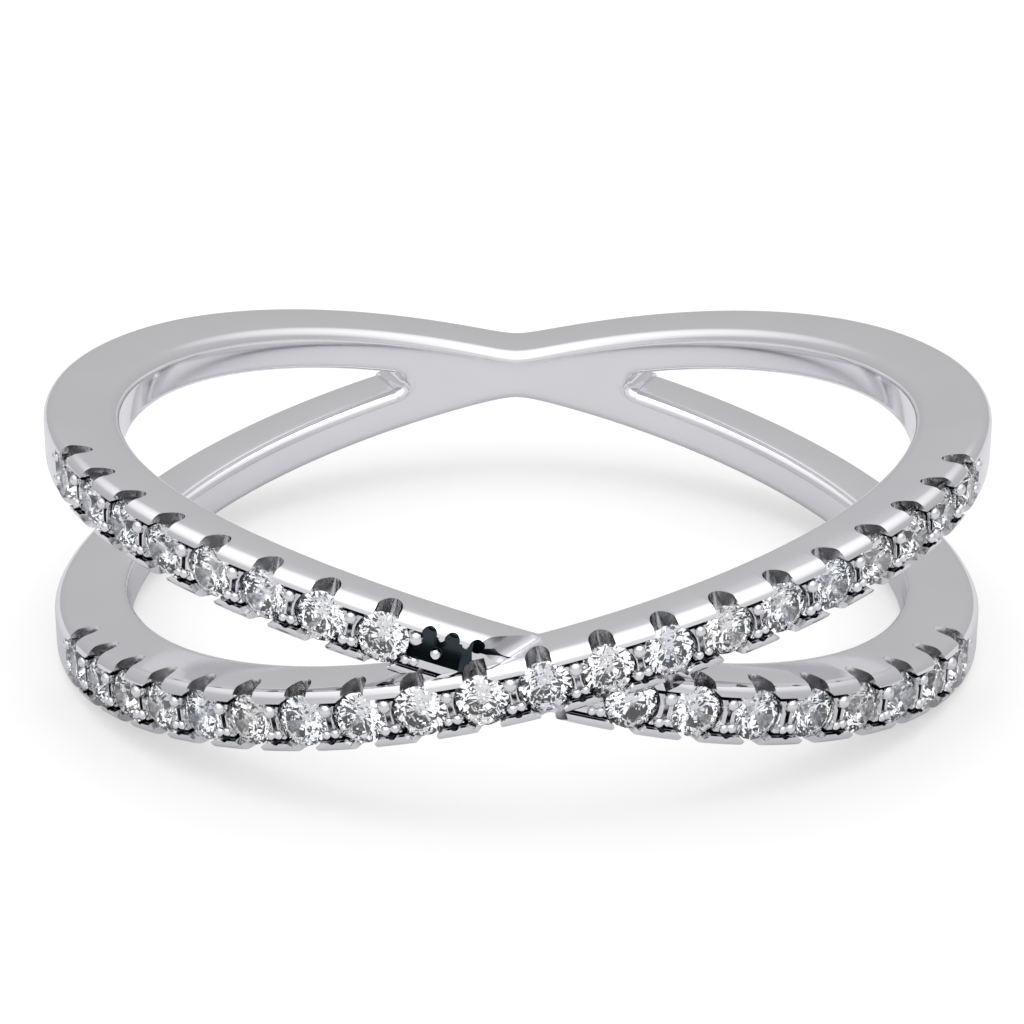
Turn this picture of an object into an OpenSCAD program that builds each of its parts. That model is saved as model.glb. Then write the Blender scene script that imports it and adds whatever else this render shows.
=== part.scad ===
// A crossover ring: two paved strands that cross at the front and join in one at the back.
// The finger's axis is Z. The front crossing faces -Y, and the ring lies on its lower strands.
// Lengths are in millimetres and angles in degrees, counted from +X towards +Y.

/* [Finger hole] */
// Diameter of the hole, a US size 7
finger_d = 17.34; // [15:0.02:20]

/* [Strands] */
// Rise of each strand's middle line at the sides, above or below the ring's middle
lift = 2.03; // [1.7:0.01:2.4]
// Bow of a strand beyond the straight tilted line, as a share of lift: over, under, and both at the back
over_bow = 0.18; // [0:0.01:0.4]
under_bow = 0.35; // [0:0.01:0.4]
back_bow = 0.1; // [0:0.01:0.3]
// Height at which each strand passes the front crossing, above the ring's middle
over_rise = 0.13; // [0:0.01:0.2]
under_rise = 0.36; // [0.2:0.01:0.4]
// Slope of the strands' side faces, as a share of a flat tilted ring's slope
face_slope = 0.56; // [0:0.01:1]
// Height of a strand in the stones' part and at the back
front_h = 1.36; // [1.3:0.02:1.5]
back_h = 1.06; // [0.9:0.02:1.2]
// Wall of the strand that passes over at the front
over_t = 1.42; // [1.36:0.02:1.6]
// Wall of the strand that passes under at the front
under_t = 1.24; // [1.16:0.02:1.3]
// Wall of both strands at the sides and at the back
side_t = 1.66; // [1.5:0.02:1.8]
back_t = 1.9; // [1.6:0.02:2]
// Radius of the rounded outer shoulders
shoulder_r = 0.3; // [0.2:0.02:0.4]

/* [Stones] */
// Diameter of a round stone across its girdle
stone_d = 1.05; // [0.9:0.01:1.1]
// Height of the stone above its girdle and depth below it
crown_h = 0.16; // [0.1:0.01:0.2]
pavilion_h = 0.42; // [0.3:0.01:0.48]
// Depth of the tables below the strand's outer face
set_down = 0.03; // [0:0.01:0.1]
// Clearance between a stone and its seat
gap = 0.03; // [0.02:0.01:0.04]
// Radius of the U-shaped cuts that open each seat to the side faces
cut_r = 0.27; // [0.2:0.01:0.32]
// Stones in the over strand's row and in each of the under strand's two rows
over_n = 20; // [12:1:20]
under_n = 8; // [4:1:8]

/* [Back join] */
// Half width of the metal between the two eyes at the back
join_w = 2.72; // [2.4:0.02:3]
// Radius of the eyes' round ends
eye_r = 0.2; // [0.15:0.01:0.25]

/* [Hidden] */
bore_r = finger_d / 2;
bore_l = 10;
// The strands reach into the hole before it is cut
root_r = bore_r - 0.35;
// How far the outer faces bulge between their shoulders
crown = 0.04;
// Angle of the first and the last stone of each row
over_row = [-157, -24];
left_row = [-157, -105.5];
right_row = [-77, -22.5];
// A strand rises or falls towards the right-hand side
OVER = 1;
UNDER = -1;
stations = 72;
// Height of a stone's girdle and width of its table, and the flat that the tip of its point is cut to
girdle_h = 0.04;
table_d = stone_d * 0.56;
culet_d = 0.06;
// Rail under the stones: its width, and its lower and upper face below the girdles
rail_w = 0.3;
rail_low = 0.3;
rail_high = 0.12;
// How far a rail and its groove run past the row's end stones, in degrees
rail_over = 0.5;
groove_over = 1;
// Long enough to cut clear of a strand
clear = 1;
cut_h = front_h + 0.24;
// Sine of the angle towards the front where the height starts to grow from back_h, and where it is full
height_from = [-0.5, 0.4];
// Half height of the join's block, which ends inside the strands, and the filled dips over the crossing
join_h = 0.5;
dip_h = back_h / 2 + 0.1;
dip_rise = 0.06;
dip_x = [0.3, 1];
// The join's outer face lies a little below the strands' outer faces
join_r = bore_r + back_t - 0.08;
metal = [0.80, 0.80, 0.82];
ice = [0.88, 0.93, 0.97];

// A size at an angle, from its front, side and back values
function around(a, front, side, back) =
    side + ((sin(a) < 0 ? front : back) - side) * pow(sin(a), 2);
// Share of the front in a strand's height at an angle
function fullness(a) =
    let (t = (-sin(a) - height_from[0]) / (height_from[1] - height_from[0]))
    (1 - cos(180 * min(max(t, 0), 1))) / 2;
function half_h(a) = (back_h + (front_h - back_h) * fullness(a)) / 2;
function outer_r(s, a) = bore_r + around(a, s == OVER ? over_t : under_t, side_t, back_t);
// Height of a strand's middle line at an angle and a radius
function bow(s, a) = sin(a) > 0 ? back_bow : s == OVER ? over_bow : under_bow;
function rise(s, a) = sin(a) > 0 ? 0 : (s == OVER ? over_rise : under_rise) * pow(sin(a), 2);
function middle_z(s, a, r) =
    s * lift * cos(a) * (1 + bow(s, a) * (1 - abs(cos(a)))) * (1 + face_slope * (r - bore_r) / bore_r)
    + rise(s, a);
// A strand's climb along its outer face
function climb(s, a) =
    let (r = outer_r(s, a))
    atan2(middle_z(s, a + 1, r) - middle_z(s, a - 1, r), r * 2 * PI / 180);

// Half outline of a strand from the hole to the middle of its outer face, as radius and height
function upper_half(s, a) =
    let (r = outer_r(s, a) - shoulder_r, h = half_h(a))
    [
        [root_r, h],
        for (t = [90, 60, 30]) [r - crown + shoulder_r * cos(t), h - shoulder_r * (1 - sin(t))],
        [r + shoulder_r, 0]
    ];
function strand_outline(s, a) =
    let (up = upper_half(s, a))
    concat(up, [for (i = [len(up) - 2:-1:0]) [up[i].x, -up[i].y]]);
// Radius of the stones' girdles
function girdle_r(s, a) = outer_r(s, a) - set_down - crown_h;
// Outline of the rail that joins a row's stones, and of the groove that holds it
function rail_outline(s, a, w, low, high) =
    let (r = girdle_r(s, a))
    [[r - low, w / 2], [r - high, w / 2], [r - high, -w / 2], [r - low, -w / 2]];

function on_strand(s, a, p) = [p.x * cos(a), p.x * sin(a), middle_z(s, a, p.x) + p.y];

// Skins a list of rings, each the same outline at the next angle
module skin(rings, closed) {
    n = len(rings);
    m = len(rings[0]);
    last = closed ? n - 1 : n - 2;
    sides = [
        for (i = [0:last], j = [0:m - 1])
        let (a = i * m + j, b = i * m + (j + 1) % m, c = (a + m) % (n * m), d = (b + m) % (n * m))
        each [[a, c, b], [b, c, d]]
    ];
    caps = closed ? [] : [[for (j = [0:m - 1]) j], [for (j = [m - 1:-1:0]) (n - 1) * m + j]];
    polyhedron([for (ring = rings, p = ring) p], concat(sides, caps));
}

module strand(s) {
    step = 360 / stations;
    angles = [for (i = [0:stations - 1]) i * step];
    skin([for (a = angles) [for (p = strand_outline(s, a)) on_strand(s, a, p)]], true);
}

// A bar along a row, from a little before its first stone to a little after its last
module bar(s, row, over, w, low, high) {
    steps = ceil((row[1] - row[0]) / 4);
    length = row[1] - row[0] + 2 * over;
    angles = [for (i = [0:steps]) row[0] - over + length * i / steps];
    skin([for (a = angles) [for (p = rail_outline(s, a, w, low, high)) on_strand(s, a, p)]], false);
}

// Places its children at each seat of a row: X outwards through the girdle's centre, Z across the strand
module at_seats(s, row, n) {
    for (i = [0:n - 1]) {
        a = row[0] + (row[1] - row[0]) * i / (n - 1);
        translate(on_strand(s, a, [girdle_r(s, a), 0]))
        rotate([0, 0, a])
        rotate([climb(s, a), 0, 0])
        children();
    }
}

module stone() {
    rotate([0, 90, 0]) {
        cylinder(h = crown_h, d1 = stone_d, d2 = table_d, $fn = 48);
        translate([0, 0, -girdle_h]) cylinder(h = girdle_h, d = stone_d, $fn = 48);
        translate([0, 0, -girdle_h - pavilion_h])
        cylinder(h = pavilion_h, d1 = culet_d, d2 = stone_d, $fn = 48);
    }
}

// The drilled seat under a stone, and the U-shaped cut across the strand that shows its side
module seat() {
    seat_d = stone_d + 2 * gap;
    rotate([0, 90, 0]) {
        translate([0, 0, -girdle_h - gap]) cylinder(h = clear, d = seat_d, $fn = 48);
        translate([0, 0, -girdle_h - pavilion_h - 2 * gap])
        cylinder(h = pavilion_h + gap, d1 = culet_d + 2 * gap, d2 = seat_d, $fn = 48);
    }
    translate([-girdle_h, 0, -cut_h / 2]) cylinder(h = cut_h, r = cut_r, $fn = 32);
    translate([-girdle_h, -cut_r, -cut_h / 2]) cube([clear, 2 * cut_r, cut_h]);
}

module row_of_stones(s, row, n) {
    at_seats(s, row, n) stone();
    bar(s, row, rail_over, rail_w, rail_low, rail_high);
}

module row_cut(s, row, n) {
    at_seats(s, row, n) seat();
    bar(s, row, groove_over, rail_w + 2 * gap, rail_low + gap, -clear);
}

// Metal that fills the crossing at the back, between the round ends of the two eyes
module back_join() {
    right = [[dip_x[0], dip_h], [dip_x[1], dip_h + dip_rise], [join_w + eye_r, join_h]];
    left = [for (i = [2:-1:0]) [-right[i].x, right[i].y]];
    upper = concat(left, right);
    lower = [for (i = [len(upper) - 1:-1:0]) [upper[i].x, -upper[i].y]];
    intersection() {
        difference() {
            cylinder(h = bore_l, r = join_r, center = true, $fn = 96);
            cylinder(h = bore_l + clear, r = root_r, center = true, $fn = 96);
        }
        rotate([90, 0, 0])
        translate([0, 0, -bore_r - bore_l])
        linear_extrude(2 * bore_r)
        difference() {
            polygon(concat(upper, lower));
            for (x = [-1, 1]) translate([x * (join_w + eye_r), 0]) circle(r = eye_r, $fn = 32);
        }
    }
}

module band() {
    color(metal)
    difference() {
        union() {
            strand(OVER);
            strand(UNDER);
            back_join();
        }
        cylinder(h = bore_l, r = bore_r, center = true, $fn = 144);
        row_cut(OVER, over_row, over_n);
        row_cut(UNDER, left_row, under_n);
        row_cut(UNDER, right_row, under_n);
    }
}

module over_pave() {
    color(ice) row_of_stones(OVER, over_row, over_n);
}

module under_pave_left() {
    color(ice) row_of_stones(UNDER, left_row, under_n);
}

module under_pave_right() {
    color(ice) row_of_stones(UNDER, right_row, under_n);
}

band();
over_pave();
under_pave_left();
under_pave_right();
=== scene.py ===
# %% [markdown]
# # A crossover ring
# Two slim strands of white metal cross at the front, one over the other, and run together in one
# at the back. Small round stones pave the front half of both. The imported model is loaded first: it
# is the frame that everything below is measured from, in metres, with the finger's axis along Z.

# %% Load the frame
import math
import random

import bmesh
import bpy
from mathutils import Matrix, Vector


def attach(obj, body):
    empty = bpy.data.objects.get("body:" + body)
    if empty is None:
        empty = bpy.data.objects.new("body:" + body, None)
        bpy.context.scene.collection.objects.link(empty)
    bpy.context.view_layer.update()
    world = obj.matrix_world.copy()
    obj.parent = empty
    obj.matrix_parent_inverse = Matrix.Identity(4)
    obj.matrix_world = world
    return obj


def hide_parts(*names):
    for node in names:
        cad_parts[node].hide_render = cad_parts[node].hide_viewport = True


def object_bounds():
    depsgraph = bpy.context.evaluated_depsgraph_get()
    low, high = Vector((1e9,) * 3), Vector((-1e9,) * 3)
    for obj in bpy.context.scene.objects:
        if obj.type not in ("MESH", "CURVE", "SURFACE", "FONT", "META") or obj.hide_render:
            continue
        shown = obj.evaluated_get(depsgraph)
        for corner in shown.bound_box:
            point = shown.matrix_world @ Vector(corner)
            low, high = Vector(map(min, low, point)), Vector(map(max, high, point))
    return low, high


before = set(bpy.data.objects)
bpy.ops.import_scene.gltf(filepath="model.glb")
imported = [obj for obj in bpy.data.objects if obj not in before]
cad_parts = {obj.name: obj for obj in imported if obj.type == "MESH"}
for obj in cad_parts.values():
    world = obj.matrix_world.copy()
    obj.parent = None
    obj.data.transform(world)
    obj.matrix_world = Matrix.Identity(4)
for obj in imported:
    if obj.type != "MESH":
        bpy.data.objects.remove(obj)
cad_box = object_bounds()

print("frame:", sorted(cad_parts))
print("box in mm:", [tuple(round(v * 1000, 2) for v in corner) for corner in cad_box])

# %% [markdown]
# ## Sizes
# The same sizes as in the construction, in millimetres and degrees. Angles count from +X towards
# +Y, so the front crossing is at -90 and the back one at 90. Shapes are worked in millimetres,
# because an operator's own tolerances suit numbers near one, and each finished mesh is scaled to
# metres.

# %% Sizes
MM = 0.001
BORE = 17.34 / 2
LIFT, FACE_SLOPE = 2.03, 0.56
BOW = {"over": 0.18, "under": 0.35, "back": 0.10}
RISE = {"over": 0.13, "under": 0.36}
FRONT_H, BACK_H = 1.36, 1.06
GROWTH = (-0.5, 0.4)  # sine towards the front where the height starts to grow, and where it is full
WALL = {"over": 1.42, "under": 1.24, "side": 1.66, "back": 1.90}
STONE, CROWN, GIRDLE, PAVILION, SET_DOWN = 1.05, 0.16, 0.04, 0.42, 0.03
# Strand, angle of the first and the last stone, and number of stones
ROWS = {
    "over_pave": ("over", -157.0, -24.0, 20),
    "under_pave_left": ("under", -157.0, -105.5, 8),
    "under_pave_right": ("under", -77.0, -22.5, 8),
}
BACK_DIP = 0.09  # half the height at which the two middle lines pass each other at the back

print("hole %.2f mm, stones %.2f mm" % (2 * BORE, STONE))
print("stones in each row:", {row: values[3] for row, values in ROWS.items()})

# %% [markdown]
# ## The run of the strands
# The real ring is one piece of metal. Each of its strands runs round the finger like a tilted hoop,
# bows out a little beyond it, and gets taller and thinner towards the front. A curve drawn by hand
# would do for the picture, but formulas give the height and the wall at any angle, so that seats,
# beads and stones can be placed on the same strand later.


# %% The run of the strands
def sin(a):
    return math.sin(math.radians(a))


def cos(a):
    return math.cos(math.radians(a))


def height(a):
    t = (-sin(a) - GROWTH[0]) / (GROWTH[1] - GROWTH[0])
    full = (1 - cos(180 * min(max(t, 0), 1))) / 2
    return BACK_H + (FRONT_H - BACK_H) * full


def wall(strand, a):
    middle = WALL[strand] if sin(a) < 0 else WALL["back"]
    return WALL["side"] + (middle - WALL["side"]) * sin(a) ** 2


def middle_z(strand, a, r):
    """Height of a middle line. At the back the over strand is the upper loop all along."""
    spread = 1 + FACE_SLOPE * (r - BORE) / BORE
    c = abs(cos(a))
    if sin(a) > 0:
        z = LIFT * c * (1 + BOW["back"] * (1 - c)) * spread
        z = math.hypot(z, BACK_DIP * sin(a) ** 2)
        return z if strand == "over" else -z
    side = 1 if strand == "over" else -1
    tilted = side * LIFT * cos(a) * (1 + BOW[strand] * (1 - c)) * spread
    return tilted + RISE[strand] * sin(a) ** 2


def on_strand(strand, a, r, y):
    """The point at that angle and radius, y above the middle line. The seam lies in y = 0."""
    return Vector((r * cos(a), round(r * sin(a), 9), middle_z(strand, a, r) + y))


print("strands: %.2f mm high at the front, %.2f at the back" % (height(-90), height(90)))

# %% [markdown]
# ## The camera
# It stands where the photograph was taken from, about 64 mm away and 22 degrees above the table,
# with a long lens. Those numbers come from fitting the ring's edges to the photograph's. The camera
# is placed by a matrix, because a fitted turn and roll are clearer as three axes than as angles.

# %% Camera
CAMERA = dict(distance=64.04, elevation=22.06, focal=2861.9, aim=(-0.115, -0.147), yaw=0.113,
              roll=-0.207)
SENSOR = 36  # width in mm
PICTURE = 1024  # width in pixels, the unit of the focal length


def photo_camera(distance, elevation, focal, aim, yaw, roll):
    turn = Matrix.Rotation(math.radians(-yaw), 3, "Z")
    back = turn @ Vector((0, -cos(elevation), sin(elevation)))
    up = turn @ Vector((0, sin(elevation), cos(elevation)))
    right = turn @ Vector((1, 0, 0))
    place = turn @ Vector((aim[0], 0, aim[1])) + back * distance
    x = right * cos(roll) - up * sin(roll)
    y = right * sin(roll) + up * cos(roll)
    data = bpy.data.cameras.new("photo_camera")
    data.sensor_fit = "HORIZONTAL"
    data.sensor_width = SENSOR
    data.lens = focal * SENSOR / PICTURE
    data.clip_start, data.clip_end = 0.001, 10
    camera = bpy.data.objects.new("photo_camera", data)
    bpy.context.scene.collection.objects.link(camera)
    axes = Matrix((x, y, back)).transposed().to_4x4()
    camera.matrix_world = Matrix.Translation(place * MM) @ axes
    bpy.context.scene.camera = camera
    print("lens %.1f mm" % data.lens)


photo_camera(**CAMERA)

# %% [markdown]
# ## A strand's section
# Cut through anywhere, a strand shows a rectangle with softly rounded corners. It is made from a
# square by bevelling its corners, the two at the finger and the two outer ones by different radii.
# The milling bars later are sections as well, with sharp corners.


# %% Section
def section(depth, tall, inner, outer, inner_steps=6, outer_steps=7):
    """A rounded rectangle from x = 0 to depth, standing on both sides of y = 0."""
    bm = bmesh.new()
    bmesh.ops.create_grid(bm, x_segments=1, y_segments=1, size=0.5)
    bmesh.ops.scale(bm, vec=(depth, tall, 1), verts=bm.verts)
    bmesh.ops.translate(bm, vec=(depth / 2, 0, 0), verts=bm.verts)
    for near, radius, steps in ((True, inner, inner_steps), (False, outer, outer_steps)):
        if radius > 0:
            corners = [v for v in bm.verts if (v.co.x < depth / 2) == near]
            bmesh.ops.bevel(bm, geom=corners, offset=radius, affect="VERTICES", segments=steps,
                            profile=0.5, material=-1, clamp_overlap=True)
    return bm


print("section: a rectangle with an inner and an outer rounding")

# %% [markdown]
# ## Sweeping the section
# A strand is its section swept round the finger, a little at a time, by extruding its edges. Every
# corner remembers its depth from the finger hole and its height, so each new ring of corners is put
# where the strand runs at that angle. A plain spin would keep one height, and a curve's bevel would
# not keep the inner face on the finger hole's cylinder.


# %% Sweep
def sweep(bm, angles, place):
    """Extrudes the section along the angles; place(angle, x, y) says where a corner goes."""
    x_layer = bm.verts.layers.float.new("x")
    y_layer = bm.verts.layers.float.new("y")
    for v in bm.verts:
        v[x_layer], v[y_layer] = v.co.x, v.co.y
    bmesh.ops.delete(bm, geom=bm.faces[:], context="FACES_ONLY")
    rim = bm.edges[:]
    first = rim
    for v in bm.verts:
        v.co = place(angles[0], v[x_layer], v[y_layer])
    for a in angles[1:]:
        made = bmesh.ops.extrude_edge_only(bm, edges=rim)["geom"]
        fresh = {e for e in made if isinstance(e, bmesh.types.BMVert)}
        for v in fresh:
            v.co = place(a, v[x_layer], v[y_layer])
        rim = [e for e in made if isinstance(e, bmesh.types.BMEdge) and set(e.verts) <= fresh]
    bmesh.ops.edgeloop_fill(bm, edges=first)
    bmesh.ops.edgeloop_fill(bm, edges=rim)
    bmesh.ops.recalc_face_normals(bm, faces=bm.faces)
    return bm


print("sweep: a section's corners are moved to each new angle in turn")

# %% [markdown]
# ## Objects and Booleans
# A goldsmith saws, drills and files the metal. Here each tool's path is a closed shape that is
# taken away with a Boolean. The modifier is applied at once, so the next cut starts from a plain
# mesh. The faces that a cut leaves keep the finish of the cutting shape, which is how milled places
# get their own material, and how dark places get a near-black or grey colour that paints in shade.

# %% Objects and Booleans
METALS = []  # the finishes of the metal, filled in below
# The last two finishes are darker copies of the metal that paint in shade: near black in the
# grooves, the pocket and the slits' feet, grey on the slope at the crossing.
POLISHED, MILLED, BLACK_SHADE, GREY_SHADE = range(4)


def to_object(bm, name, finish=POLISHED):
    """The mesh as an object; the finish is a number in METALS."""
    mesh = bpy.data.meshes.new(name)
    bm.to_mesh(mesh)
    bm.free()
    for material in METALS:
        mesh.materials.append(material)
    mesh.polygons.foreach_set("material_index", [finish] * len(mesh.polygons))
    obj = bpy.data.objects.new(name, mesh)
    bpy.context.scene.collection.objects.link(obj)
    return obj


def boolean(obj, other, how="DIFFERENCE"):
    """Cuts or adds other, keeps only the result and returns its number of faces."""
    step = obj.modifiers.new("step", "BOOLEAN")
    step.operation, step.solver, step.object, step.material_mode = how, "MANIFOLD", other, "INDEX"
    bpy.context.view_layer.update()
    shown = obj.evaluated_get(bpy.context.evaluated_depsgraph_get())
    result = bpy.data.meshes.new_from_object(shown)
    obj.modifiers.clear()
    old, obj.data = obj.data, result
    bpy.data.meshes.remove(old)
    bpy.data.meshes.remove(other.data)
    return len(result.polygons)


print("finishes: polished, milled, groove, filed")

# %% [markdown]
# ## Building materials
# A material is a tree of nodes. Two small helpers build it: one starts a tree with a Principled
# shader, the other adds a node and links or sets its inputs in the same line, which keeps a tree
# readable from top to bottom. A third adds a colour ramp with its stops.


# %% Node helpers
def node_tree(material):
    material.use_nodes = True
    tree = material.node_tree
    tree.nodes.clear()
    out = tree.nodes.new("ShaderNodeOutputMaterial")
    shader = tree.nodes.new("ShaderNodeBsdfPrincipled")
    tree.links.new(shader.outputs["BSDF"], out.inputs["Surface"])
    return tree, shader


def add(tree, kind, inputs=(), **settings):
    node = tree.nodes.new(kind)
    for key, value in settings.items():
        setattr(node, key, value)
    for key, value in dict(inputs).items():
        if isinstance(value, bpy.types.NodeSocket):
            tree.links.new(value, node.inputs[key])
        else:
            node.inputs[key].default_value = value
    return node


def colour_ramp(tree, factor, stops, interpolation="LINEAR"):
    """A ramp with (position, red-green-blue) stops from low to high; returns its colour."""
    node = add(tree, "ShaderNodeValToRGB", {"Fac": factor})
    node.color_ramp.interpolation = interpolation
    elements = node.color_ramp.elements
    for i, (position, colour) in enumerate(stops):
        if i < 2:
            elements[i].position = position
        else:
            elements.new(position)
        elements[i].color = (*colour, 1)
    return node.outputs["Color"]


print("node helpers: node_tree, add, colour_ramp")

# %% [markdown]
# ## Polished by hand
# Silver is a mirror, so it shows the studio. What makes it read as metal that was polished by hand
# is a faint drift in its gloss and tone, and a very fine haze of polishing marks. Every finish of
# the metal has them, each with its own colours and gloss, so they are one node group with named
# inputs that is built once.

# %% Hand polish group
DRIFT_SCALE, MARKS_SCALE = 420.0, 9000.0  # patches of 2 mm, marks of 0.1 mm
MARKS_STRENGTH, MARKS_DEPTH = 0.03, 0.00001
POLISH_INPUTS = (("Dark", "Color"), ("Bright", "Color"), ("Gloss Low", "Float"),
                 ("Gloss High", "Float"))
POLISH_OUTPUTS = (("Base Color", "Color"), ("Roughness", "Float"), ("Normal", "Vector"))


def polish_group():
    """Colour, gloss and normal of metal polished by hand, between two colours and two glosses."""
    group = bpy.data.node_groups.new("hand_polish", "ShaderNodeTree")
    for name, kind in POLISH_INPUTS:
        group.interface.new_socket(name=name, in_out="INPUT", socket_type="NodeSocket" + kind)
    for name, kind in POLISH_OUTPUTS:
        group.interface.new_socket(name=name, in_out="OUTPUT", socket_type="NodeSocket" + kind)
    given = group.nodes.new("NodeGroupInput").outputs
    result = group.nodes.new("NodeGroupOutput").inputs
    place = add(group, "ShaderNodeTexCoord").outputs["Object"]
    drift = add(group, "ShaderNodeTexNoise", {"Vector": place, "Scale": DRIFT_SCALE, "Detail": 3.0})
    marks = add(group, "ShaderNodeTexNoise", {"Vector": place, "Scale": MARKS_SCALE, "Detail": 2.0})
    share = add(group, "ShaderNodeMapRange", {"Value": drift.outputs["Fac"], "From Min": 0.3,
                                              "From Max": 0.7}).outputs["Result"]
    gloss = add(group, "ShaderNodeMapRange", {"Value": share, "To Min": given["Gloss Low"],
                                              "To Max": given["Gloss High"]})
    colour = add(group, "ShaderNodeMix", {"Factor": share, "A": given["Dark"],
                                          "B": given["Bright"]}, data_type="RGBA")
    bump = add(group, "ShaderNodeBump", {"Height": marks.outputs["Fac"], "Strength": MARKS_STRENGTH,
                                         "Distance": MARKS_DEPTH})
    group.links.new(colour.outputs["Result"], result["Base Color"])
    group.links.new(gloss.outputs["Result"], result["Roughness"])
    group.links.new(bump.outputs["Normal"], result["Normal"])
    return group


hand_polish = polish_group()
print("group:", hand_polish.name, "with", len(hand_polish.nodes), "nodes")

# %% [markdown]
# ## The silver finishes
# The ring is sterling silver under bright rhodium plate. The cutter leaves the seats and the
# U-shaped cuts a little rougher, the filed slope at the crossing is painted greyer as shade, and
# the deep fine grooves are painted nearly black as shade. All four are the same metal with other
# values.


# %% Silver finishes
def silver(name, dark, bright, gloss_low, gloss_high):
    material = bpy.data.materials.new(name)
    tree, shader = node_tree(material)
    values = {"Dark": (*dark, 1), "Bright": (*bright, 1), "Gloss Low": gloss_low,
              "Gloss High": gloss_high}
    polish = add(tree, "ShaderNodeGroup", values, node_tree=hand_polish)
    for socket, _ in POLISH_OUTPUTS:
        tree.links.new(polish.outputs[socket], shader.inputs[socket])
    shader.inputs["Metallic"].default_value = 1.0
    return material


METALS += [
    silver("rhodium_plated_silver", (0.83, 0.83, 0.85), (0.86, 0.86, 0.875), 0.05, 0.11),
    silver("milled_silver", (0.72, 0.72, 0.73), (0.86, 0.86, 0.87), 0.12, 0.22),
    # The last two paint in shade: near black in the grooves and grey on the slope at the crossing.
    silver("silver_painted_black_shade", (0.015, 0.025, 0.03), (0.07, 0.09, 0.10), 0.18, 0.34),
    silver("silver_painted_grey_shade", (0.50, 0.50, 0.515), (0.58, 0.58, 0.595), 0.16, 0.26),
]
print("metal finishes:", [material.name for material in METALS])

# %% [markdown]
# ## Cubic zirconia
# The stones are clear and bend light strongly, so they are glass with a high refractive index and
# no roughness at all. No two stones have quite the same tint, so the colour drifts slowly in space
# and each stone catches a piece of that drift.


# %% Stone material
def zirconia():
    material = bpy.data.materials.new("cubic_zirconia")
    tree, shader = node_tree(material)
    place = add(tree, "ShaderNodeTexCoord").outputs["Object"]
    tint = add(tree, "ShaderNodeTexNoise", {"Vector": place, "Scale": 700.0, "Detail": 1.0})
    cold_to_warm = ((0.35, (0.93, 0.96, 1.0)), (0.65, (1.0, 0.99, 0.97)))
    colour = colour_ramp(tree, tint.outputs["Fac"], cold_to_warm)
    tree.links.new(colour, shader.inputs["Base Color"])
    shader.inputs["Roughness"].default_value = 0.0
    shader.inputs["IOR"].default_value = 2.16
    shader.inputs["Transmission Weight"].default_value = 1.0
    return material


zirconia_finish = zirconia()
print("stone material:", zirconia_finish.name)

# %% [markdown]
# ## The strands
# One sweep runs the whole way round as the over strand at the front and the upper loop at the
# back, the other as the under strand and the lower loop. Where the two middle lines would meet at
# the back they swerve a little, which leaves the soft dip the real ring has there. The rounded
# corners are made at one nominal size and only moved apart, so the rounding stays the same.

# %% Two strands
INNER_ROUND, SHOULDER = 0.29, 0.30
NOMINAL = (1.5, 1.2)  # wall and height of the section before it is fitted to an angle
STATIONS = 360


def strand_point(strand):
    def place(a, x, y):
        extra = wall(strand, a) - NOMINAL[0] if x > NOMINAL[0] / 2 else 0
        grow = (height(a) - NOMINAL[1]) / 2
        return on_strand(strand, a, BORE + x + extra, y + grow if y > 0 else y - grow)
    return place


def strand_solid(strand):
    angles = [-180 + 360 * i / STATIONS for i in range(STATIONS + 1)]
    bm = section(*NOMINAL, INNER_ROUND, SHOULDER)
    return to_object(sweep(bm, angles, strand_point(strand)), strand + "_strand")


over = strand_solid("over")
under = strand_solid("under")
print("each strand has", len(over.data.polygons), "faces")

# %% [markdown]
# ## Places along a row
# The setter marks the stones' places along the strand before drilling. Every stone, seat, cut and
# bead stands square on the strand's outer face, so they all use one matrix: X points outwards, Y
# along the strand and Z across it, tilted by the strand's climb at that angle.

# %% Places along a row
OUTWARDS = Matrix.Rotation(math.radians(90), 4, "Y")


def row_angles(row):
    _, first, last, n = ROWS[row]
    return [first + (last - first) * i / (n - 1) for i in range(n)]


def gap_angles(row):
    angles = row_angles(row)
    return [(a + b) / 2 for a, b in zip(angles, angles[1:])]


def seat_matrix(strand, a, depth):
    """X points outwards, Z across the strand, from a point that deep under the outer face."""
    r = BORE + wall(strand, a)
    rise = middle_z(strand, a + 1, r) - middle_z(strand, a - 1, r)
    climb = math.atan2(rise, r * math.radians(2))
    turn = Matrix.Rotation(math.radians(a), 4, "Z") @ Matrix.Rotation(climb, 4, "X")
    return Matrix.Translation(on_strand(strand, a, r - depth, 0)) @ turn


def add_cone(bm, matrix, r1, r2, length, sides):
    return bmesh.ops.create_cone(bm, cap_ends=True, cap_tris=False, segments=sides, radius1=r1,
                                 radius2=r2, depth=length, matrix=matrix)["verts"]


print("angles of the first row:", [round(a, 1) for a in row_angles("over_pave")])

# %% [markdown]
# ## The drilled seats
# Every stone sits in a hole with a cone under it. The cone is one operator, and its wide lid is
# extruded outwards for the hole, so a seat is one closed shape. All seats of a strand are one mesh
# of separate shapes, because a Boolean works best on shapes that don't overlap.

# %% Seat cutters
GAP = 0.03
SEAT_TIP = 0.06  # radius at the bottom of the cone
SEAT_SHAFT = 1.0


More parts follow.
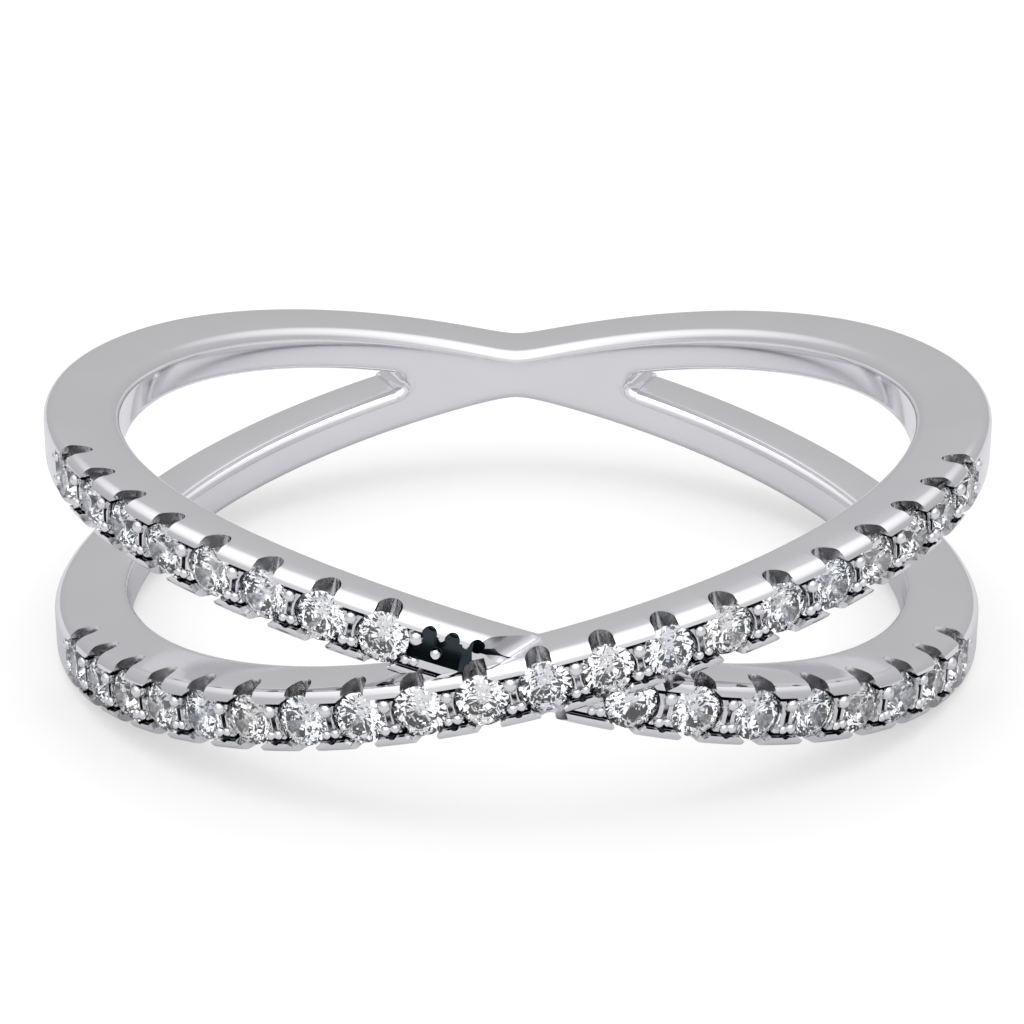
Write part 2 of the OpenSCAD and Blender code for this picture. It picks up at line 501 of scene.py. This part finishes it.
def seat_cutters(rows):
    """A drilled hole with a cone under it for every stone."""
    bm = bmesh.new()
    deep = PAVILION + 2 * GAP
    wide = STONE / 2 + GAP
    for row in rows:
        for a in row_angles(row):
            at = seat_matrix(ROWS[row][0], a, SET_DOWN + CROWN) @ OUTWARDS
            cone = at @ Matrix.Translation((0, 0, -GIRDLE - deep / 2))
            verts = add_cone(bm, cone, SEAT_TIP, wide, deep, 40)
            lid = max(verts, key=lambda v: (at.inverted() @ v.co).z)
            top = max(lid.link_faces, key=lambda f: len(f.verts))
            shaft = bmesh.ops.extrude_face_region(bm, geom=[top])["geom"]
            rise = [v for v in shaft if isinstance(v, bmesh.types.BMVert)]
            bmesh.ops.delete(bm, geom=[top], context="FACES_ONLY")
            bmesh.ops.translate(bm, vec=(at.to_3x3() @ Vector((0, 0, SEAT_SHAFT))), verts=rise)
    bmesh.ops.recalc_face_normals(bm, faces=bm.faces)
    return to_object(bm, "seat_cutters", MILLED)


print("seats: %.2f mm wide" % (STONE + 2 * GAP))

# %% [markdown]
# ## The U-shaped cuts
# A cut across the strand beside each stone lets light in from both edges. It is a cylinder across
# the strand: its inner half is stretched to an ellipse, which makes the cut deeper than it is wide,
# and its outer half is pulled out past the strand's face.

# %% Side cutters
CUT_HALF, CUT_IN, CUT_REACH = 0.25, 0.12, 0.54  # half width, depth of the axis, depth below it
CUT_PAST = 0.3  # how much taller than the strand


def side_cutters(rows):
    """A round-ended slot across the strand at every stone, deeper than it is wide."""
    bm = bmesh.new()
    for row in rows:
        strand = ROWS[row][0]
        for a in row_angles(row):
            verts = add_cone(bm, Matrix(), CUT_HALF, CUT_HALF, height(a) + CUT_PAST, 28)
            inner = [v for v in verts if v.co.x < 0]
            bmesh.ops.scale(bm, vec=(CUT_REACH / CUT_HALF, 1, 1), verts=inner)
            outer = [v for v in verts if v.co.x > -1e-5]
            bmesh.ops.translate(bm, vec=(1.0, 0, 0), verts=outer)
            bmesh.ops.transform(bm, matrix=seat_matrix(strand, a, CUT_IN), verts=verts)
    bmesh.ops.recalc_face_normals(bm, faces=bm.faces)
    return to_object(bm, "side_cutters", MILLED)


print("cuts: %.2f mm wide, %.2f mm deep" % (2 * CUT_HALF, CUT_IN + CUT_REACH))

# %% [markdown]
# ## The slits between stones
# Between two stones the metal is split by a dark slit like a keyhole: narrow, with a round head and
# a round foot at the lower lip, the foot painted near black as shade. A thin box and two short
# cylinders cut it. Head and foot are cut after the slit, each in one mesh, so that no two shapes in
# a mesh overlap.

# %% Slit cutters
SLIT = (0.7, 0.10, 0.56)  # through the face, along the strand, across it
SLIT_SHIFT = -0.13
SLIT_HEAD, SLIT_FOOT = 0.16, -0.35  # place across the strand
SLIT_END_R, SLIT_END_DEEP = 0.09, 0.55


def slit_cutters(rows):
    bm = bmesh.new()
    for row in rows:
        strand = ROWS[row][0]
        for a in gap_angles(row):
            slit = bmesh.ops.create_cube(bm, size=1)["verts"]
            bmesh.ops.scale(bm, vec=SLIT, verts=slit)
            bmesh.ops.translate(bm, vec=(0, 0, SLIT_SHIFT), verts=slit)
            bmesh.ops.transform(bm, matrix=seat_matrix(strand, a, 0), verts=slit)
    bmesh.ops.recalc_face_normals(bm, faces=bm.faces)
    return to_object(bm, "slit_cutters", MILLED)


def slit_ends(rows, across, finish):
    bm = bmesh.new()
    for row in rows:
        strand = ROWS[row][0]
        for a in gap_angles(row):
            at = seat_matrix(strand, a, 0) @ OUTWARDS @ Matrix.Translation((-across, 0, 0))
            add_cone(bm, at, SLIT_END_R, SLIT_END_R, SLIT_END_DEEP, 14)
    bmesh.ops.recalc_face_normals(bm, faces=bm.faces)
    return to_object(bm, "slit_ends", finish)


print("slits: %.2f mm wide between round ends of %.2f mm" % (SLIT[1], 2 * SLIT_END_R))

# %% [markdown]
# ## The channel and its grooves
# The setter first mills a shallow channel along the row, and then edges it with two fine grooves,
# whose faces are painted near black as shade, so they show as broken dark lines beside the stones.
# Channel and grooves are square bars swept along the strand with the same sweep that made it, so
# they follow its climb exactly.

# %% Channel cutter
CHANNEL_HALF, CHANNEL_DEPTH, CHANNEL_SHIFT = 0.43, 0.10, 0.02
GROOVES = ((1, 0.055), (-1, 0.03))  # side of the channel, half width
GROOVE_DEPTH = 0.26
GROOVE_INSET = 0.002


def channel_cutter(strand, first, last, half, deep, middle=0.0, finish=MILLED):
    """A square groove along a row, its floor that deep under the outer face."""
    def place(a, x, y):
        return on_strand(strand, a, BORE + wall(strand, a) - deep + x, middle + y)
    steps = math.ceil(abs(last - first))
    angles = [first + (last - first) * i / steps for i in range(steps + 1)]
    bm = section(1.0, 2 * half, 0, 0)
    return to_object(sweep(bm, angles, place), "channel_cutter", finish)


print("channel: %.2f mm wide, %.2f mm deep" % (2 * CHANNEL_HALF, CHANNEL_DEPTH))

# %% [markdown]
# ## All the cuts of a row
# The order is the setter's: the channel, its grooves, the slits, then the seats and the U-shaped
# cuts. The later and bigger cuts trim what the earlier ones left ragged.


# %% Cut the rows
def cut_rows(obj, strand, rows, first, last):
    """All the cuts of one strand; returns the number of faces after each."""
    cutters = [channel_cutter(strand, first, last, CHANNEL_HALF, CHANNEL_DEPTH, CHANNEL_SHIFT)]
    # The grooves and the slits' feet take the near-black finish, a painted shade.
    for side, half in GROOVES:
        edge = CHANNEL_SHIFT + side * (CHANNEL_HALF - half - GROOVE_INSET)
        cutters.append(channel_cutter(strand, first + 1, last - 1, half, GROOVE_DEPTH, edge,
                                      BLACK_SHADE))
    cutters += [slit_cutters(rows), slit_ends(rows, SLIT_HEAD, MILLED),
                slit_ends(rows, SLIT_FOOT, BLACK_SHADE), seat_cutters(rows), side_cutters(rows)]
    return [boolean(obj, cutter) for cutter in cutters]


CHANNEL_PAST = 3.2  # degrees that the channel runs past the end stones
under_rows = ["under_pave_left", "under_pave_right"]
made = cut_rows(under, "under", under_rows, -157 - CHANNEL_PAST, -22.5 + CHANNEL_PAST)
print("under strand's cuts, faces:", made)

# %% [markdown]
# ## The pocket and the passing place
# Left of the crossing the under strand has a short stretch of channel without stones: a pocket,
# painted near black as shade, whose upper rim shows the small round arches of seats that stayed
# empty, painted the same. Beyond it the under strand is filed down to pass under the other, and the
# slope is painted a greyer silver as shade. One swept bar with a soft inner corner makes that slope,
# deeper with every degree.

# %% Pocket and passing place
POCKET = (-103.5, -95.2)
POCKET_HALF, POCKET_DEPTH, POCKET_SHIFT = 0.30, 0.50, 0.12
ARCHES = (-100.5, -98.0, -95.3)
ARCH_R, ARCH_UP = 0.15, 0.44
PASS = (-94.6, -87.0)
PASS_ROUND, PASS_STEPS = 0.45, 16
PASS_BAR = (1.6, 1.8)  # thick enough to clear the strand
PASS_UP = 0.88  # the bar's middle above the over strand's top face
PASS_FALL = 0.95  # share of the wall that is gone at the end


def rim_arches(strand, angles):
    """Small round arches in the upper rim of the pocket."""
    bm = bmesh.new()
    for a in angles:
        at = seat_matrix(strand, a, 0.1) @ Matrix.Translation((0, 0, ARCH_UP)) @ OUTWARDS
        add_cone(bm, at, ARCH_R, ARCH_R, 0.9, 20)
    bmesh.ops.recalc_face_normals(bm, faces=bm.faces)
    return to_object(bm, "rim_arches", BLACK_SHADE)


def passing_cutter():
    """Clears the over strand's top face of the under strand's outer part."""
    def place(a, x, y):
        share = (a - PASS[0]) / (PASS[1] - PASS[0])
        r = BORE + WALL["under"] * (1.0 - PASS_FALL * share) + x
        return on_strand("over", a, r, height(a) / 2 + PASS_UP + y)
    angles = [PASS[0] + (PASS[1] - PASS[0]) * i / PASS_STEPS for i in range(PASS_STEPS + 1)]
    bar = section(*PASS_BAR, PASS_ROUND, 0, 8)
    # The slope's faces take the grey finish, a painted shade.
    return to_object(sweep(bar, angles, place), "passing_cutter", GREY_SHADE)


# The pocket and the arches take the near-black finish, a painted shade.
cutters = [channel_cutter("under", *POCKET, POCKET_HALF, POCKET_DEPTH, POCKET_SHIFT, BLACK_SHADE),
           rim_arches("under", ARCHES), passing_cutter()]
made = [boolean(under, cutter) for cutter in cutters]
print("pocket and passing place, faces:", made)

# %% [markdown]
# ## Unite the strands
# The real ring is one piece where its strands cross, so the two solids are united here. Only then
# is the over strand cut, because its seats at the crossing also reach into the metal of the under
# strand below it.

# %% Unite and cut the over strand
print("united:", boolean(over, under, "UNION"))
made = cut_rows(over, "over", ["over_pave"], -157 - CHANNEL_PAST, -24 + CHANNEL_PAST)
print("over strand's cuts, faces:", made)

# %% [markdown]
# ## The eyes at the back
# The strands part at the back in two eyes with round ends, whose edges are softly broken on both
# faces of the wall. Such a flared hole is a row of circles of changing radius joined by bridges,
# which is easier to control than bevelling the edge that a Boolean leaves.

# %% Eye cutters
EYE_R, EYE_FLARE = 0.2, 0.28
EYE_X = 3.16
EYE_RADIUS = BORE + 0.5  # radius at which the eyes are EYE_X from the middle
JOIN_DEPTH = WALL["back"] - 0.10
EYE_STEPS = (0, 15, 30, 45, 60, 75, 90)


def eye_cutters():
    """A round hole that flares at both faces of the wall, bridged from circles."""
    bm = bmesh.new()
    for side in (-1, 1):
        a = 90 - side * math.degrees(math.asin(EYE_X / EYE_RADIUS))
        flare = [(EYE_FLARE * (1 - cos(t)), EYE_R + EYE_FLARE * (1 - sin(t))) for t in EYE_STEPS]
        outline = [(-0.5, EYE_R + EYE_FLARE)] + flare
        outline += [(JOIN_DEPTH - depth, radius) for depth, radius in reversed(flare)]
        outline.append((JOIN_DEPTH + 0.6, EYE_R + EYE_FLARE))
        at = Matrix.Rotation(math.radians(a), 4, "Z") @ Matrix.Translation((BORE, 0, 0)) @ OUTWARDS
        last = None
        for depth, radius in outline:
            ring = bmesh.ops.create_circle(bm, cap_ends=False, segments=32, radius=radius,
                                           matrix=at @ Matrix.Translation((0, 0, depth)))["verts"]
            edges = list({e for v in ring for e in v.link_edges})
            if last:
                bmesh.ops.bridge_loops(bm, edges=last + edges)
            last = edges
    bmesh.ops.holes_fill(bm, edges=[e for e in bm.edges if e.is_boundary], sides=40)
    bmesh.ops.recalc_face_normals(bm, faces=bm.faces)
    return to_object(bm, "eye_cutters")


print("eyes: %.1f mm wide inside, %.2f mm at the faces" % (2 * EYE_R, 2 * (EYE_R + EYE_FLARE)))

# %% [markdown]
# ## The join at the back
# Between the strands the metal is filled from the crossing to the eyes. The filling is a curved
# block swept on small steps, so its inner face lies flush with the strands', and the eyes are cut
# from it before it is united with them.

# %% Join and unite
JOIN_STEPS = 36


def join():
    """Fills the space between the two middle lines, out to the eyes."""
    reach = math.degrees(math.asin(EYE_X / EYE_RADIUS))
    angles = [90 - reach + 2 * reach * i / JOIN_STEPS for i in range(JOIN_STEPS + 1)]

    def place(a, x, y):
        r = BORE + x
        return Vector((r * cos(a), r * sin(a), y * 2 * middle_z("over", a, r)))
    solid = to_object(sweep(section(JOIN_DEPTH, 1.0, 0, 0), angles, place), "join")
    boolean(solid, eye_cutters())
    return solid


band = over
band.name = "band_metal"
print("united:", boolean(band, join(), "UNION"))

# %% [markdown]
# ## What is cleaned away
# Each loop's left end meets the other loop's, so both ends' caps end up inside the metal and come
# out. So do crumbs of a few faces that a cut left behind: they are found as islands, by walking
# from face to face over shared edges. What stays is one closed skin.

# %% Caps and crumbs
CRUMB = 12  # an island of fewer faces is a crumb


def seam_faces(bm):
    """The caps of the two loops, which meet at the left in the plane y = 0."""
    return [f for f in bm.faces if all(abs(v.co.y) < 1e-5 and v.co.x < 0 for v in f.verts)]


def crumbs(bm):
    """Faces of very small islands."""
    seen, found = set(), []
    for face in bm.faces:
        if face in seen:
            continue
        island, front = {face}, [face]
        while front:
            for e in front.pop().edges:
                fresh = set(e.link_faces) - island
                island |= fresh
                front.extend(fresh)
        seen |= island
        if len(island) < CRUMB:
            found.extend(island)
    return found


print("an island of fewer than", CRUMB, "faces is a crumb")

# %% [markdown]
# ## Finish the metal
# The last step at the bench is the polish. Here corners that lie together are merged, the caps and
# crumbs come out and the mesh is scaled to metres. Faces are shaded smooth, apart from edges
# sharper than a given angle, as on metal that was polished whole.

# %% Finish a piece
MERGE, SLIVER = 2e-4, 1e-4


def finish_piece(obj, sharp=None):
    """Cleans the mesh, scales it to metres and sets the shading: flat, or smooth up to sharp."""
    bm = bmesh.new()
    bm.from_mesh(obj.data)
    bmesh.ops.remove_doubles(bm, verts=bm.verts, dist=MERGE)
    bmesh.ops.dissolve_degenerate(bm, edges=bm.edges, dist=SLIVER)
    bmesh.ops.delete(bm, geom=seam_faces(bm), context="FACES_ONLY")
    bmesh.ops.delete(bm, geom=crumbs(bm), context="FACES")
    bmesh.ops.scale(bm, vec=(MM, MM, MM), verts=bm.verts)
    bm.to_mesh(obj.data)
    bm.free()
    smooth = sharp is not None
    obj.data.polygons.foreach_set("use_smooth", [smooth] * len(obj.data.polygons))
    if smooth:
        obj.data.set_sharp_from_angle(angle=math.radians(sharp))
    obj.data.update()
    return len(obj.data.polygons)


print("band:", finish_piece(band, 30), "faces")

# %% [markdown]
# ## Beads
# The setter pushes up small beads of metal in each corner between two stones. They are small
# spheres, sunk into the channel's floor, and each differs a little in size and place because it is
# made by hand. Few faces are enough, since a bead is only some pixels wide.

# %% Beads
random.seed(7)
BEADS = ((0.0, 0.26, 0.14), (-0.09, -0.25, 0.105), (0.09, -0.23, 0.105))  # along, across, radius
# Angle, across and radius of the beads in the pocket
POCKET_BEADS = ((-102.2, 0.30, 0.12), (-99.2, 0.36, 0.09), (-99.4, 0.0, 0.13), (-96.5, 0.36, 0.09))
BEAD_DEPTH, POCKET_BEAD_DEPTH = 0.07, 0.2


def add_bead(bm, strand, a, along, across, radius, depth):
    at = seat_matrix(strand, a, depth) @ Matrix.Translation((0, along, across))
    bmesh.ops.create_uvsphere(bm, u_segments=12, v_segments=8, radius=radius, matrix=at @ OUTWARDS)


def bead_piece():
    bm = bmesh.new()
    for row in ROWS:
        strand, angles = ROWS[row][0], row_angles(row)
        half = (angles[1] - angles[0]) / 2
        for a in [angles[0] - half] + gap_angles(row) + [angles[-1] + half]:
            for along, across, radius in BEADS:
                size = radius * random.uniform(0.88, 1.12)
                shift = along + random.uniform(-0.015, 0.015)
                add_bead(bm, strand, a, shift, across, size, BEAD_DEPTH)
    for a, across, radius in POCKET_BEADS:
        add_bead(bm, "under", a, 0, across, radius, POCKET_BEAD_DEPTH)
    return to_object(bm, "bead_metal")


beads = bead_piece()
print("beads:", finish_piece(beads, 180), "faces")

# %% [markdown]
# ## A cut stone
# A round brilliant has a flat table, a ring of crown facets, a thin girdle and a pointed pavilion.
# Only the corners are placed, as circles of vertices, and a convex hull stretches the facets
# between them. A real cutter's facets are flat too, so the stones are shaded flat.

# %% One brilliant
TABLE_R = STONE * 0.29
CROWN_RING = (0.76, 0.098)  # share of the stone's radius, height above the girdle
PAVILION_RING = (0.24, 0.345)  # share of the stone's radius, depth below the girdle
CULET_R = 0.008


def ring_of(bm, sides, radius, z, turn):
    matrix = Matrix.Translation((0, 0, z)) @ Matrix.Rotation(math.radians(turn), 4, "Z")
    bmesh.ops.create_circle(bm, cap_ends=False, segments=sides, radius=radius, matrix=matrix)


def brilliant():
    """A cut stone in a bmesh, its girdle's upper edge at z = 0."""
    bm = bmesh.new()
    half = STONE / 2
    ring_of(bm, 8, TABLE_R, CROWN, 0)
    ring_of(bm, 8, CROWN_RING[0] * half, CROWN_RING[1], 22.5)
    ring_of(bm, 16, half, 0, 0)
    ring_of(bm, 16, half, -GIRDLE, 0)
    ring_of(bm, 8, PAVILION_RING[0] * half, -GIRDLE - PAVILION_RING[1], 22.5)
    ring_of(bm, 4, CULET_R, -GIRDLE - PAVILION, 0)
    bmesh.ops.convex_hull(bm, input=bm.verts)
    loose = [e for e in bm.edges if not e.link_faces]
    bmesh.ops.delete(bm, geom=loose, context="EDGES")
    bmesh.ops.dissolve_limit(bm, angle_limit=math.radians(1), verts=bm.verts, edges=bm.edges)
    bmesh.ops.recalc_face_normals(bm, faces=bm.faces)
    return bm


def pattern_mesh():
    bm = brilliant()
    mesh = bpy.data.meshes.new("pattern")
    bm.to_mesh(mesh)
    bm.free()
    return mesh


pattern = pattern_mesh()
print("a stone has", len(pattern.polygons), "facets")

# %% [markdown]
# ## The rows of stones
# The stones of a row are copies of the pattern, each leaned and turned a little differently, as the
# setter drops them in. That is what makes neighbouring stones sparkle at different facets. They are
# one piece a row, like the solid that the row stands for.

# %% Stones
LEAN = 2.5  # degrees, either way


def stone_row(row):
    strand = ROWS[row][0]
    bm = bmesh.new()
    for a in row_angles(row):
        before = len(bm.verts)
        bm.from_mesh(pattern)
        bm.verts.ensure_lookup_table()
        lean = Matrix.Rotation(math.radians(random.uniform(-LEAN, LEAN)), 4, "X")
        lean = lean @ Matrix.Rotation(math.radians(random.uniform(-LEAN, LEAN)), 4, "Y")
        turn = Matrix.Rotation(math.radians(random.uniform(0, 45)), 4, "Z")
        at = seat_matrix(strand, a, SET_DOWN + CROWN) @ OUTWARDS @ lean @ turn
        bmesh.ops.transform(bm, matrix=at, verts=bm.verts[before:])
    obj = to_object(bm, row + "_stones")
    obj.data.materials.clear()
    obj.data.materials.append(zirconia_finish)
    return obj


stones = {row: stone_row(row) for row in ROWS}
bpy.data.meshes.remove(pattern)
print("stones:", {row: finish_piece(obj) for row, obj in stones.items()})

# %% [markdown]
# ## The table
# The ring lies on a pale table that is lit from below as well, as product tables are, so it shines
# a little by itself and the shadow stays faint. Polished metal would mirror such a table as pure
# white, so in reflections the table is a plain light grey card.

# %% Table
FLOOR_Z = cad_box[0][2]
TABLE_HALF = 1.5
TABLE_GLOW = 0.45
CARD = (0.71, 0.71, 0.73, 1)


def table_material():
    material = bpy.data.materials.new("pale_table")
    tree, shader = node_tree(material)
    place = add(tree, "ShaderNodeTexCoord").outputs["Object"]
    grain = add(tree, "ShaderNodeTexNoise", {"Vector": place, "Scale": 60.0, "Detail": 3.0})
    greys = ((0.0, (0.57, 0.57, 0.57)), (1.0, (0.59, 0.59, 0.59)))
    tree.links.new(colour_ramp(tree, grain.outputs["Fac"], greys), shader.inputs["Base Color"])
    shader.inputs["Emission Color"].default_value = (1, 1, 1, 1)
    shader.inputs["Emission Strength"].default_value = TABLE_GLOW
    shader.inputs["Roughness"].default_value = 0.9
    shader.inputs["Specular IOR Level"].default_value = 0.1
    card = add(tree, "ShaderNodeBsdfDiffuse", {"Color": CARD})
    mirrored = add(tree, "ShaderNodeLightPath").outputs["Is Glossy Ray"]
    mix = add(tree, "ShaderNodeMixShader", {"Fac": mirrored, 1: shader.outputs["BSDF"],
                                            2: card.outputs["BSDF"]})
    tree.links.new(mix.outputs["Shader"], tree.nodes["Material Output"].inputs["Surface"])
    return material


def table():
    bm = bmesh.new()
    bmesh.ops.create_grid(bm, x_segments=8, y_segments=8, size=TABLE_HALF)
    bmesh.ops.translate(bm, vec=(0, 0, FLOOR_Z), verts=bm.verts)
    obj = to_object(bm, "table")
    obj.data.materials.clear()
    obj.data.materials.append(table_material())


table()
print("table at %.2f mm" % (FLOOR_Z / MM))

# %% [markdown]
# ## The room that metal mirrors
# Metal is only as good as what it mirrors. The flat side of the strands mirrors the room behind the
# ring, so the greys of the room, from the table's level up to the ceiling, set the greys of the
# metal. They are a ramp over the height of the direction, a little brighter in front of the ring.

# %% Plain room
ROOM_GREYS = (  # by height, from level to overhead
    (0.0, (0.50, 0.50, 0.51)), (0.45, (0.58, 0.58, 0.5916)), (0.62, (0.90, 0.90, 0.918)),
    (0.80, (1.15, 1.15, 1.173)), (1.0, (1.2, 1.2, 1.2)),
)
# How much brighter the room is in front of the ring, by direction
FRONT = {"From Min": -0.95, "From Max": -0.2, "To Min": 1.45, "To Max": 1.0}


def plain_room(tree, where):
    split = add(tree, "ShaderNodeSeparateXYZ", {"Vector": where}).outputs
    front = add(tree, "ShaderNodeMapRange", {"Value": split["Y"], **FRONT},
                interpolation_type="SMOOTHSTEP")
    greys = colour_ramp(tree, split["Z"], ROOM_GREYS)
    return add(tree, "ShaderNodeBackground", {"Color": greys, "Strength": front.outputs["Result"]})


print("room greys:", [grey[0] for _, grey in ROOM_GREYS])

# %% [markdown]
# ## The room that stones see
# Stones need contrast: in an even room a clear stone looks like grey glass. A photographer puts
# white cards round them with dark gaps between. Large Voronoi cells give such cards, each with one
# of four tones.

# %% Sparkle room
SPARKLE_CARDS = (
    (0.0, (0.02, 0.02, 0.025)), (0.30, (0.72, 0.80, 0.95)), (0.50, (1.25, 1.27, 1.3)),
    (0.80, (2.2, 2.15, 2.1)),
)
CARD_CELLS = 2.3


def sparkle_room(tree, where):
    cells = add(tree, "ShaderNodeTexVoronoi", {"Vector": where, "Scale": CARD_CELLS,
                                               "Randomness": 1.0})
    pick = add(tree, "ShaderNodeSeparateColor", {"Color": cells.outputs["Color"]}).outputs["Red"]
    cards = colour_ramp(tree, pick, SPARKLE_CARDS, "CONSTANT")
    return add(tree, "ShaderNodeBackground", {"Color": cards, "Strength": 1.0})


print("cards:", len(SPARKLE_CARDS), "tones")

# %% [markdown]
# ## Who sees which room
# Rays that have passed through a stone see the cards, matt surfaces see one even tone so that the
# table has no patches, and everything else, above all the metal, sees the plain room. The Light
# Path node tells them apart.

# %% Room
EVEN_ROOM = 0.92


def room():
    world = bpy.data.worlds.new("studio_room")
    bpy.context.scene.world = world
    world.use_nodes = True
    tree = world.node_tree
    tree.nodes.clear()
    where = add(tree, "ShaderNodeTexCoord").outputs["Generated"]
    path = add(tree, "ShaderNodeLightPath").outputs
    in_stone = add(tree, "ShaderNodeMath", {0: path["Transmission Depth"], 1: 0.5},
                   operation="GREATER_THAN")
    mix = add(tree, "ShaderNodeMixShader", {"Fac": in_stone.outputs["Value"],
                                            1: plain_room(tree, where).outputs["Background"],
                                            2: sparkle_room(tree, where).outputs["Background"]})
    even = add(tree, "ShaderNodeBackground", {"Color": (1, 1, 1, 1), "Strength": EVEN_ROOM})
    seen = add(tree, "ShaderNodeMixShader", {"Fac": path["Is Diffuse Ray"],
                                             1: mix.outputs["Shader"],
                                             2: even.outputs["Background"]})
    add(tree, "ShaderNodeOutputWorld", {"Surface": seen.outputs["Shader"]})


room()
bpy.context.scene.view_settings.view_transform = "Standard"
print("room:", bpy.context.scene.world.name)

# %% [markdown]
# ## The light
# One broad soft lamp hangs over the ring and gives the faint shadow on the table. It is weak,
# because the room already lights the scene, and a strong lamp would burn out the table.

# %% Light
LAMP = dict(size=0.14, power=0.06, place=(0.0, -0.01, 0.16))


def soft_light(name, size, power, place):
    data = bpy.data.lights.new(name, "AREA")
    data.shape, data.size, data.energy = "SQUARE", size, power
    obj = bpy.data.objects.new(name, data)
    bpy.context.scene.collection.objects.link(obj)
    place = Vector(place)
    aim = place.to_track_quat("Z", "Y").to_matrix().to_4x4()
    obj.matrix_world = Matrix.Translation(place) @ aim


soft_light("overhead", **LAMP)
print("lamp: %.0f mm wide" % (LAMP["size"] / MM))

# %% [markdown]
# ## Attach the pieces
# Every piece rides on the ring's one body, and the construction solid that it stands for is hidden.

# %% Attach the pieces
for obj in (band, beads):
    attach(obj, "root")
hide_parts("band")
for row, obj in stones.items():
    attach(obj, "root")
    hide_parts(row)
